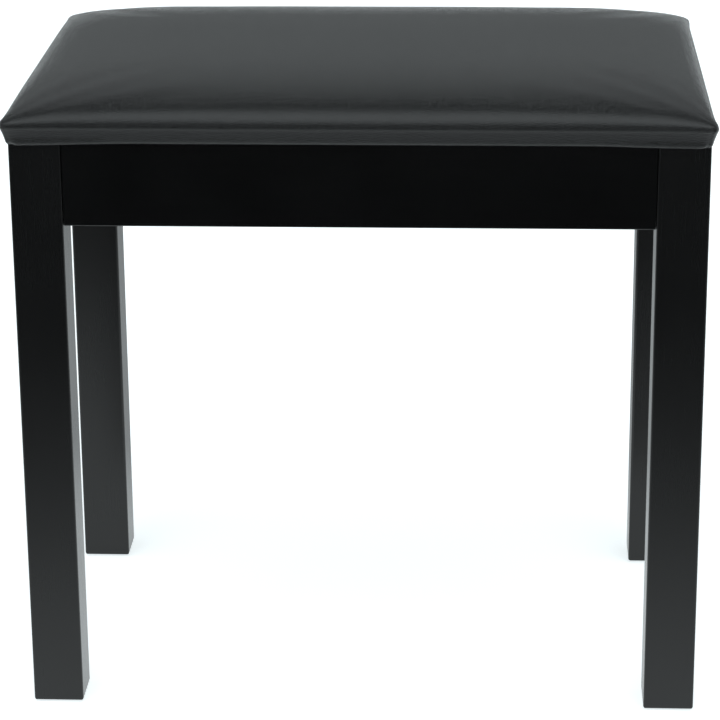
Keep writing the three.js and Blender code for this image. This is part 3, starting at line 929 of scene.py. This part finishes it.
def plan_ring(columns, inset):
    """The outline a step in from the widest one, as an array of X and Y."""
    half_x, half_y = seat_half_sizes()
    radius = max(CORNER_RADIUS - 0.5 * inset, TIGHTEST_CORNER)
    angle, core_x, core_y = columns.T
    x = core_x * (half_x - inset - radius) + radius * np.cos(angle)
    y = core_y * (half_y - inset - radius) + radius * np.sin(angle)
    return np.stack([x, y], axis=1)


def crown(distance):
    """Share of the padding's full height at a distance in from its edge: a round roll and a dome."""
    roll = np.clip(distance / ROLL_REACH, 0, 1)
    dome = np.clip(distance / sizes().crown_reach, 0, 1)
    roll_height = (1 - (1 - roll) ** 2) ** 0.5
    dome_height = (1 - (1 - dome) ** 3.4) ** 0.5
    return ROLL_SHARE * roll_height + (1 - ROLL_SHARE) * dome_height


def padding_height(near, other):
    """Share of the full height at distances from the nearest side and from the side across it."""
    return crown(near) * crown(other)


def patch(front, rear, left, right):
    """Points of a four-sided patch blended from its edges, as an array [along x][along y]."""
    u = (front[:, 0] - front[0, 0]) / (front[-1, 0] - front[0, 0])
    v = (left[:, 1] - left[0, 1]) / (left[-1, 1] - left[0, 1])
    u, v = u[:, None, None], v[None, :, None]
    across = (1 - v) * front[:, None] + v * rear[:, None]
    along = (1 - u) * left[None] + u * right[None]
    flat = ((1 - u) * (1 - v) * front[0] + u * (1 - v) * front[-1]
            + (1 - u) * v * rear[0] + u * v * rear[-1])
    return across + along - flat


def roll_level():
    """The height at which the padding is widest."""
    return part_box("seat_cover")[0].z + sizes().roll_height


def seat_skin():
    """The covering before the foam fills it: vertices, faces, and the count of columns.

    Rings of columns run from the cut edge to inside the roll, and a patch closes the top.
    """
    low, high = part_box("seat_cover")
    half_x, half_y = seat_half_sizes()
    middle_x, middle_y = (low.x + high.x) / 2, (low.y + high.y) / 2
    columns = outline_columns()
    count = len(columns)
    roll = roll_level()
    rise = high.z - roll - sizes().swell
    rings = []
    for inset, height in WRAP_SECTION:
        plan = plan_ring(columns, inset * MM)
        rings.append(np.column_stack([plan, np.full(count, low.z + height * MM)]))
    for i in range(1, TOP_RING_COUNT + 1):
        inset = WRAP_SECTION[ROLL_LEVEL][0] * MM + TOP_RING_REACH * (i / TOP_RING_COUNT) ** 2.4
        plan = plan_ring(columns, inset)
        to_sides = np.stack([half_x - abs(plan[:, 0]), half_y - abs(plan[:, 1])])
        share = padding_height(np.full(count, inset), to_sides.max(axis=0))
        rings.append(np.column_stack([plan, roll + rise * share]))
    edge = rings[-1]
    wide, deep = WIDTH_STEPS + ARC_STEPS, DEPTH_STEPS + ARC_STEPS
    index = np.full((wide + 1, deep + 1), -1)
    base = (len(rings) - 1) * count
    steps_x, steps_y = np.arange(wide + 1), np.arange(deep + 1)
    index[:, 0] = base + wide + deep + steps_x
    index[:, deep] = base + wide - steps_x
    index[0, :] = base + wide + deep - steps_y
    index[wide, :] = base + (2 * wide + deep + steps_y) % count
    sides = [edge[ids - base] for ids in (index[:, 0], index[:, deep], index[0, :], index[wide, :])]
    inside = patch(*sides)[1:-1, 1:-1].reshape(-1, 3)
    to_sides = np.stack([half_x - abs(inside[:, 0]), half_y - abs(inside[:, 1])])
    share = padding_height(to_sides.min(axis=0), to_sides.max(axis=0))
    inside[:, 2] = roll + rise * share
    index[1:-1, 1:-1] = (len(rings) * count + np.arange(len(inside))).reshape(wide - 1, deep - 1)
    vertices = np.vstack([*rings, inside]) + (middle_x, middle_y, 0)
    faces = []
    for level in range(len(rings) - 1):
        for i in range(count):
            here, after = level * count + i, level * count + (i + 1) % count
            faces.append((here, after, after + count, here + count))
    for i in range(wide):
        for j in range(deep):
            faces.append((index[i, j], index[i + 1, j], index[i + 1, j + 1], index[i, j + 1]))
    return vertices, [tuple(int(v) for v in face) for face in faces], count


def smooth_step(value, start, end):
    """0 before start, 1 after end, and a soft S between them. Start may be the larger."""
    t = np.clip((value - start) / (end - start), 0, 1)
    return t * t * (3 - 2 * t)


def filled_by_foam(vertices, faces, count):
    """The covering's vertices once the foam's pressure has filled it, by cloth simulation."""
    roll = roll_level()
    pad = add_object("cloth_pad", vertices, faces)
    held = pad.vertex_groups.new(name="held")
    loose = smooth_step(vertices[:, 2], roll - 0.5 * MM, roll + 6 * MM)
    loose[:(ROLL_LEVEL + 1) * count] = 0
    for i, share in enumerate(loose):
        held.add([i], float(1 - share), "REPLACE")
    cloth = pad.modifiers.new("Covering", "CLOTH")
    settings = cloth.settings
    settings.quality = 6
    settings.mass = 0.4
    settings.tension_stiffness = 20
    settings.compression_stiffness = 20
    settings.shear_stiffness = 8
    settings.bending_stiffness = 2
    settings.vertex_group_mass = "held"
    settings.use_pressure = True
    settings.uniform_pressure_force = sizes().pressure
    settings.effector_weights.gravity = 0
    last_frame = 20
    cloth.point_cache.frame_start = 1
    cloth.point_cache.frame_end = last_frame
    scene = bpy.context.scene
    for step in range(1, last_frame + 1):
        scene.frame_set(step)
    shape = pad.evaluated_get(bpy.context.evaluated_depsgraph_get()).to_mesh()
    moved = np.empty(len(vertices) * 3)
    shape.vertices.foreach_get("co", moved)
    scene.frame_set(1)
    drop(pad)
    shift = moved.reshape(-1, 3) - vertices
    far = np.linalg.norm(shift, axis=1)
    print("cloth moved up to", round(far.max() * 1000, 2), "mm")
    return vertices + shift * (sizes().swell / far.max())


CORNER_FULLNESS = 2.9 * MM  # how far a folded corner stands proud
CORNER_FULLNESS_REACH = 11 * MM
REAR_FULLNESS = 0.7  # share of it that the rear corners have
EDGE_THICKENING = 0.35 * MM
EDGE_SAG, FOLD_SAG = 1.3, 0.5  # in millimetres, along the front and under the fold


def corner_details(points):
    """Moves the covering's points for the folded corners: layer, gathers and thicker lower edge."""
    low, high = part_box("seat_cover")
    half_x, half_y = seat_half_sizes()
    middle = np.array([(low.x + high.x) / 2, (low.y + high.y) / 2])
    from_middle = points[:, :2] - middle
    x, y = abs(from_middle[:, 0]), abs(from_middle[:, 1])
    core_x, core_y = half_x - CORNER_RADIUS, half_y - CORNER_RADIUS
    past_x, past_y = x - core_x, y - core_y
    angle = np.arctan2(np.maximum(past_y, 0), np.maximum(past_x, 0))
    quarter = CORNER_RADIUS * math.pi / 4
    on_end = past_y > past_x  # on the front or rear face, not on the left or right
    arc = np.where((past_x > 0) & (past_y > 0), CORNER_RADIUS * (angle - math.pi / 4),
                   np.where(on_end, quarter + np.maximum(-past_x, 0),
                            -quarter - np.maximum(-past_y, 0)))
    outward = np.stack([
        np.where(past_x > 0, np.cos(angle), 0) * np.sign(from_middle[:, 0]),
        np.where(past_y > 0, np.sin(angle), 0) * np.sign(from_middle[:, 1])], axis=1)
    height = points[:, 2] - low.z
    band = smooth_step(height, 17 * MM, 12 * MM) * smooth_step(height, 0, 1 * MM)
    random = np.random.default_rng(sizes().seed)
    push, drop_down = np.zeros(len(points)), np.zeros(len(points))
    for side_x in (-1, 1):
        for side_y in (-1, 1):
            here = (np.sign(from_middle[:, 0]) == side_x) & (np.sign(from_middle[:, 1]) == side_y)
            place, wave, phase, spread = random.uniform(
                (0.3, 6.5, 0, 18), (1.5, 8.5, 2 * math.pi, 30))
            layer = smooth_step(arc, (place + 0.9) * MM, place * MM)
            layer *= smooth_step(arc, -32 * MM, -10 * MM)
            fade = np.exp(-np.abs(arc) / (spread * MM)) * smooth_step(np.abs(arc), 3 * MM, 8 * MM)
            gathers = np.cos(arc / (wave * MM) * 2 * math.pi + phase) * fade
            thick = smooth_step(arc, 4 * MM, 9 * MM) * smooth_step(arc, 95 * MM, 20 * MM)
            move = sizes().fold_depth * layer * band
            move += sizes().pucker_depth * gathers * smooth_step(height, 19 * MM, 12 * MM)
            move += EDGE_THICKENING * thick * smooth_step(height, 6 * MM, 1.5 * MM)
            fullness = smooth_step(height, 24 * MM, 15 * MM)
            fullness *= 0.75 + 0.25 * smooth_step(height, 3 * MM, 14 * MM)
            fullness *= 1 if side_y < 0 else REAR_FULLNESS
            move += CORNER_FULLNESS * np.exp(-np.abs(arc) / CORNER_FULLNESS_REACH) * fullness
            move *= smooth_step(height, -1 * MM, 0.4 * MM)
            push[here] += move[here]
            fold = smooth_step(arc, 1 * MM, 0) * smooth_step(arc, -7 * MM, -3 * MM)
            lower = EDGE_SAG * thick + FOLD_SAG * fold
            sag = lower * MM * smooth_step(height, 5 * MM, 0.8 * MM)
            if side_y < 0:  # the rear edge swings past the legs and stays thin
                at_face = smooth_step(y, half_y - 11 * MM, half_y - 8.5 * MM)
                drop_down[here] += (sag * at_face)[here]
    moved = points.copy()
    moved[:, :2] += outward * push[:, None]
    moved[:, 2] -= drop_down
    return moved


def foam_from(vertices, faces, count):
    """The foam pad: the covering's upper part a skin's thickness further in, closed below."""
    cover_low, cover_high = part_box("seat_cover")
    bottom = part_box("foam_pad")[0].z
    shape = add_object("foam_shape", vertices, faces)
    normals = np.empty(len(vertices) * 3)
    shape.data.vertices.foreach_get("normal", normals)
    drop(shape)
    inner = vertices - normals.reshape(-1, 3) * (sizes().leatherette + SKIN_GAP)
    inner[:, 2] = np.maximum(inner[:, 2], bottom + 0.15 * MM)
    level = next(i for i, (_, height) in enumerate(WRAP_SECTION)
                 if cover_low.z + height * MM > bottom)
    start = level * count
    plan = plan_ring(outline_columns(), FOAM_FOOT_INSET)
    plan += [(cover_low.x + cover_high.x) / 2, (cover_low.y + cover_high.y) / 2]
    foot = np.column_stack([plan, np.full(count, bottom)])
    kept = [tuple(v - start + count for v in face) for face in faces if min(face) >= start]
    wall = [(i, (i + 1) % count, count + (i + 1) % count, count + i) for i in range(count)]
    return np.vstack([foot, inner[start:]]), kept + wall + [tuple(reversed(range(count)))]


class BENCH_OT_seat(bpy.types.Operator):
    """Makes the padded seat: the leatherette covering by cloth simulation, and its foam"""

    bl_idname = "bench.seat"
    bl_label = "Padded seat"

    def execute(self, context):
        vertices, faces, count = seat_skin()
        filled = filled_by_foam(vertices, faces, count)
        foam = add_object("foam_pad_made", *foam_from(filled, faces, count), finish("foam"))
        settle(foam, LID_BODY, "foam", "foam_pad")
        cover = add_object("seat_covering", filled, faces, finish("leatherette"), math.pi)
        finer = cover.modifiers.new("Finer", "SUBSURF")
        finer.levels = 1
        finer.render_levels = 1
        baked(cover)
        points = np.empty(len(cover.data.vertices) * 3)
        cover.data.vertices.foreach_get("co", points)
        moved = corner_details(points.reshape(-1, 3))
        cover.data.vertices.foreach_set("co", moved.ravel())
        cover.data.update()
        wall = cover.modifiers.new("Thickness", "SOLIDIFY")
        wall.thickness = sizes().leatherette
        wall.offset = -1
        wall.use_rim = True
        baked(cover)
        settle(cover, LID_BODY, "leatherette", "seat_cover")
        return {"FINISHED"}


# ---- Under the lid --------------------------------------------------------------------------

STAPLE_CROWN = 10 * MM
STAPLE_LEG = 2.2 * MM
STAPLE_WIRE = 0.55 * MM


def staple_form():
    """A staple: its crown lies along X with its outer face at Z = 0, its legs point down."""
    bend = 0.9 * MM
    half = STAPLE_CROWN / 2
    path = [(-half, -STAPLE_LEG), (-half, -bend), (-half + bend * 0.3, -bend * 0.3),
            (-half + bend, 0), (half - bend, 0), (half - bend * 0.3, -bend * 0.3),
            (half, -bend), (half, -STAPLE_LEG)]
    rings = []
    for i, (x, z) in enumerate(path):
        before = Vector(path[max(i - 1, 0)])
        after = Vector(path[min(i + 1, len(path) - 1)])
        run = (after - before).normalized()
        side = Vector((run.y, -run.x))
        corners = ((0, -1), (0, 1), (1, 1), (1, -1))
        rings.append([
            (x + side.x * deep * STAPLE_WIRE, wide * STAPLE_WIRE, z + side.y * deep * STAPLE_WIRE)
            for deep, wide in corners])
    return loft(rings)


def staple_lines(node, inset, past, with_rear):
    """Lines just under a node, each inset from a side and stopping short of the corners."""
    low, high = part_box(node)
    level = low.z - 0.05 * MM
    lines = [((low.x + past, y, level), (high.x - past, y, level))
             for y in ((low.y + inset, high.y - inset) if with_rear else (low.y + inset,))]
    lines += [((x, low.y + past, level), (x, high.y - past, level))
              for x in (low.x + inset, high.x - inset)]
    return lines


def dust_cover_sheet():
    """The dust cover: a thin cloth drawn flat at its edge, slack in the middle."""
    low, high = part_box("dust_cover")
    steps_x, steps_y = 78, 48
    spacing = sizes().staple_spacing
    vertices = []
    for j in range(steps_y + 1):
        for i in range(steps_x + 1):
            u, v = i / steps_x, j / steps_y
            x = low.x + (high.x - low.x) * u
            y = low.y + (high.y - low.y) * v
            from_side = min(x - low.x, high.x - x)
            from_end = min(y - low.y, high.y - y)
            edge = min(from_side, from_end)
            along = x if from_end < from_side else y
            slack = 2.6 * MM * (math.sin(math.pi * u) * math.sin(math.pi * v)) ** 0.7
            pull = math.sin(math.pi * along / spacing) ** 2 * math.exp(-edge / (22 * MM))
            grip = 1 - math.exp(-edge / (6 * MM))
            vertices.append((x, y, high.z - slack - 0.7 * MM * pull * grip))
    row = steps_x + 1
    faces = [(j * row + i, (j + 1) * row + i, (j + 1) * row + i + 1, j * row + i + 1)
             for j in range(steps_y) for i in range(steps_x)]
    return vertices, faces


class BENCH_OT_underside(bpy.types.Operator):
    """Makes the lid's board, its dust cover and the staples that hold cloth and covering"""

    bl_idname = "bench.underside"
    bl_label = "Underside of the lid"

    def execute(self, context):
        board = worked_copy("lid_board", finish("plywood"), 0.4 * MM)
        settle(board, LID_BODY, "plywood", "lid_board")
        low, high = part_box("dust_cover")
        cloth = add_object("dust_cover_made", *dust_cover_sheet(), finish("dust_cloth"), math.pi)
        wall = cloth.modifiers.new("Thickness", "SOLIDIFY")
        wall.thickness = high.z - low.z
        wall.offset = -1
        baked(cloth)
        settle(cloth, LID_BODY, "dust_cloth", "dust_cover")
        staple = add_object("staple_copy", *staple_form())
        spacing = sizes().staple_spacing
        for name, lines, step, seed in (
            ("dust_cover_staples", staple_lines("dust_cover", 4 * MM, 13 * MM, True), spacing, 0),
            ("covering_staples", staple_lines("seat_cover", 22 * MM, 62 * MM, False),
             spacing * 0.7, 1),
        ):
            made = rows(name, lines, (0.0, 0.0, -1.0), step, staple, "zinc",
                        sizes().staple_turn, sizes().seed + seed)
            settle(made, LID_BODY, "zinc_steel")
        drop(staple)
        return {"FINISHED"}


# ---- Hinges ---------------------------------------------------------------------------------


def pin_form(length, radius):
    """A hinge pin along Z from 0 up, with domed ends."""
    dome = [(radius * math.cos(a), radius * 0.6 * math.sin(a)) for a in (1.35, 0.9, 0.45, 0)]
    rings = [round_ring(r, radius * 0.6 - h, 24) for r, h in dome]
    rings += [round_ring(r, length - radius * 0.6 + h, 24) for r, h in reversed(dome)]
    return loft(rings)


class BENCH_OT_hinges(bpy.types.Operator):
    """Makes the two butt hinges, their pins and the countersunk screws in their leaves"""

    bl_idname = "bench.hinges"
    bl_label = "Hinges"

    def execute(self, context):
        for side in ("left", "right"):
            for kind, body in (("fixed", FRAME_BODY), ("moving", LID_BODY)):
                node = f"hinge_{kind}_leaf_{side}"
                leaf = worked_copy(node, finish("zinc"), 0.12 * MM, math.radians(35))
                settle(leaf, body, "zinc_steel", node)
            node = f"hinge_pin_{side}"
            low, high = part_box(node)
            vertices, faces = pin_form(high.x - low.x, (high.z - low.z) / 2)
            middle = Vector((low.x, (low.y + high.y) / 2, (low.z + high.z) / 2))
            turned = [(middle.x + z, middle.y + x, middle.z + y) for x, y, z in vertices]
            pin = add_object(f"{node}_made", turned, faces, finish("zinc"))
            settle(pin, LID_BODY, "zinc_steel", node)
        screw = add_object("screw_copy", *screw_form(3 * MM, 1.4 * MM, 11 * MM, False))
        for kind, body, outward in (("apron", FRAME_BODY, 1), ("lid", LID_BODY, -1)):
            places, nodes = [], []
            for side in ("left", "right"):
                for position in ("left", "middle", "right"):
                    node = f"{kind}_screw_{side}_{position}"
                    place = middle_of(node)
                    place.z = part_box(node)[1 if outward > 0 else 0].z
                    places.append((place, (0, 0, outward), (1, 0, 0)))
                    nodes.append(node)
            made = copies(f"{kind}_screws", places, screw, "yellow_zinc", math.pi, sizes().seed)
            settle(made, body, "yellow_zinc_steel", *nodes)
        drop(screw)
        return {"FINISHED"}


# ---- Stage ----------------------------------------------------------------------------------


COOL_WHITE = (0.91, 0.98, 1.0, 1)
LAMP_HEIGHT = math.radians(55)  # above the horizon
FLOOR_REACH = 12.0
CARD_REACH = 4.0
CARD_FADE = 2.0  # distance from the bench's middle at which the card's ramps end


def studio_light(settings):
    """World light: a soft lamp in front, and a backdrop behind and beside, palest at its middle."""
    world = bpy.data.worlds.new("studio")
    bpy.context.scene.world = world
    shader = Shader(world)
    way = shader.node("ShaderNodeTexCoord", output="Generated")
    height = shader.node("ShaderNodeSeparateXYZ", None, {"Vector": way}, "Z")
    depth = shader.node("ShaderNodeSeparateXYZ", None, {"Vector": way}, "Y")
    lamp_way = Vector((0, -math.cos(LAMP_HEIGHT), math.sin(LAMP_HEIGHT)))
    towards = shader.node(
        "ShaderNodeVectorMath", {"operation": "DOT_PRODUCT"}, {0: way, 1: lamp_way}, "Value")
    lamp = shader.ramp(towards, [(0.3, 0), (0.5, 0.1), (0.66, 0.3), (0.77, 0.65), (0.88, 1)])
    wall = shader.ramp(
        height, [(0.0, 0.45), (0.2, 0.52), (0.3, 0.75), (0.38, 1.08), (0.44, 1.05), (0.5, 0.55),
                 (0.56, 0.2), (0.8, 0.12)])
    front = shader.ramp(depth * -1, [(0.05, 0), (0.5, 1)])
    shade = 1 - front * (1 - settings.front_shade)
    light = wall * shade * settings.backdrop + lamp * settings.lamp
    studio = shader.node("ShaderNodeBackground", None, {"Color": COOL_WHITE, "Strength": light})
    pale = shader.node("ShaderNodeBackground", None, {"Color": (1, 1, 1, 1), "Strength": 1.0})
    seen = shader.node("ShaderNodeLightPath", output="Is Camera Ray")
    mixed = shader.node("ShaderNodeMixShader", None, {0: seen, 1: studio, 2: pale})
    shader.node("ShaderNodeOutputWorld", None, {"Surface": mixed})


def stage_sheet(name, reach, height, material):
    """A flat square sheet of the stage, reaching equally far to each side."""
    corners = [(x * reach, y * reach, height) for x, y in ((-1, -1), (1, -1), (1, 1), (-1, 1))]
    sheet = add_object(name, corners, [(0, 1, 2, 3)], material)
    return sheet


def floor_finish(settings):
    """A pale floor with a little light of its own, clear when seen from below."""
    shader = new_shader("stage_floor")
    matt = shader.node("ShaderNodeBsdfDiffuse", None, {"Color": (0.7, 0.7, 0.7, 1)})
    glow = shader.node(
        "ShaderNodeEmission", None, {"Color": COOL_WHITE, "Strength": settings.floor_glow})
    both = shader.node("ShaderNodeAddShader", None, {0: matt, 1: glow})
    clear = shader.node("ShaderNodeBsdfTransparent")
    below = shader.node("ShaderNodeNewGeometry", output="Backfacing")
    mixed = shader.node("ShaderNodeMixShader", None, {0: below, 1: both, 2: clear})
    shader.node("ShaderNodeOutputMaterial", None, {"Surface": mixed})
    shader.owner.cycles.emission_sampling = "NONE"
    return shader.owner


def shade_finish():
    """A dark card of painted shade, seen only in reflections: clear near the bench, dark further
    forward, and half dark behind.
    """
    shader = new_shader("stage_shade")
    depth = shader.node("ShaderNodeSeparateXYZ", None, {"Vector": shader.place()}, "Y")
    in_front = shader.ramp(depth * (-1 / CARD_FADE), [
        (0.085, 0.0), (0.18, 0.2), (0.27, 0.5), (0.4, 0.8), (0.55, 0.95), (0.7, 0.995)])
    behind = shader.ramp(depth * (1 / CARD_FADE), [
        (0.1, 0.0), (0.2, 0.45), (0.5, 0.5), (0.75, 0.65)])
    share = in_front + behind
    dark = shader.node("ShaderNodeBsdfDiffuse", None, {"Color": (0.0, 0.0, 0.0, 1)})
    clear = shader.node("ShaderNodeBsdfTransparent")
    mixed = shader.node("ShaderNodeMixShader", None, {0: share, 1: clear, 2: dark})
    shader.node("ShaderNodeOutputMaterial", None, {"Surface": mixed})
    return shader.owner


class BENCH_OT_stage(bpy.types.Operator):
    """Makes the camera, the floor, the studio light and the dark card that only gloss sees"""

    bl_idname = "bench.stage"
    bl_label = "Stage"

    def execute(self, context):
        settings = context.scene.bench_stage
        camera = bpy.data.objects.new("camera", bpy.data.cameras.new("camera"))
        camera.data.lens = settings.lens
        camera.data.sensor_width = 36
        camera.matrix_world = (
            Matrix.Translation(settings.camera_place)
            @ Matrix.Rotation(settings.camera_turn, 4, "Z")
            @ Matrix.Rotation(math.pi / 2 - settings.camera_tilt, 4, "X")
            @ Matrix.Rotation(settings.camera_roll, 4, "Z"))
        context.scene.collection.objects.link(camera)
        context.scene.camera = camera
        context.scene.view_settings.view_transform = "Standard"
        studio_light(settings)
        stage_sheet("floor", FLOOR_REACH, 0.0, floor_finish(settings))
        card = stage_sheet("shade", CARD_REACH, 1 * MM, shade_finish())
        card.visible_camera = False
        card.visible_diffuse = False
        card.visible_shadow = False
        card.visible_transmission = False
        return {"FINISHED"}


# ---- Add-on ---------------------------------------------------------------------------------

STEPS = (
    BENCH_OT_stage,
    BENCH_OT_legs,
    BENCH_OT_aprons,
    BENCH_OT_feet,
    BENCH_OT_corners,
    BENCH_OT_storage_floor,
    BENCH_OT_seat,
    BENCH_OT_underside,
    BENCH_OT_hinges,
)


class BENCH_PT_panel(bpy.types.Panel):
    """Lists the bench's steps in the sidebar"""

    bl_idname = "BENCH_PT_panel"
    bl_label = "Piano Bench"
    bl_space_type = "VIEW_3D"
    bl_region_type = "UI"
    bl_category = "Piano Bench"

    def draw(self, context):
        for step in STEPS:
            self.layout.operator(step.bl_idname)


GROUPS = {
    "bench_sizes": BenchSizes,
    "bench_colours": BenchColours,
    "bench_stage": StageSettings,
}


def register():
    for kind in (*GROUPS.values(), *STEPS, BENCH_PT_panel):
        bpy.utils.register_class(kind)
    for name, kind in GROUPS.items():
        setattr(bpy.types.Scene, name, PointerProperty(type=kind))


def unregister():
    for name in GROUPS:
        delattr(bpy.types.Scene, name)
    for kind in reversed((*GROUPS.values(), *STEPS, BENCH_PT_panel)):
        bpy.utils.unregister_class(kind)


def main():
    register()
    for step in STEPS:
        group, name = step.bl_idname.split(".")
        getattr(getattr(bpy.ops, group), name)()


if __name__ == "__main__":
    main()
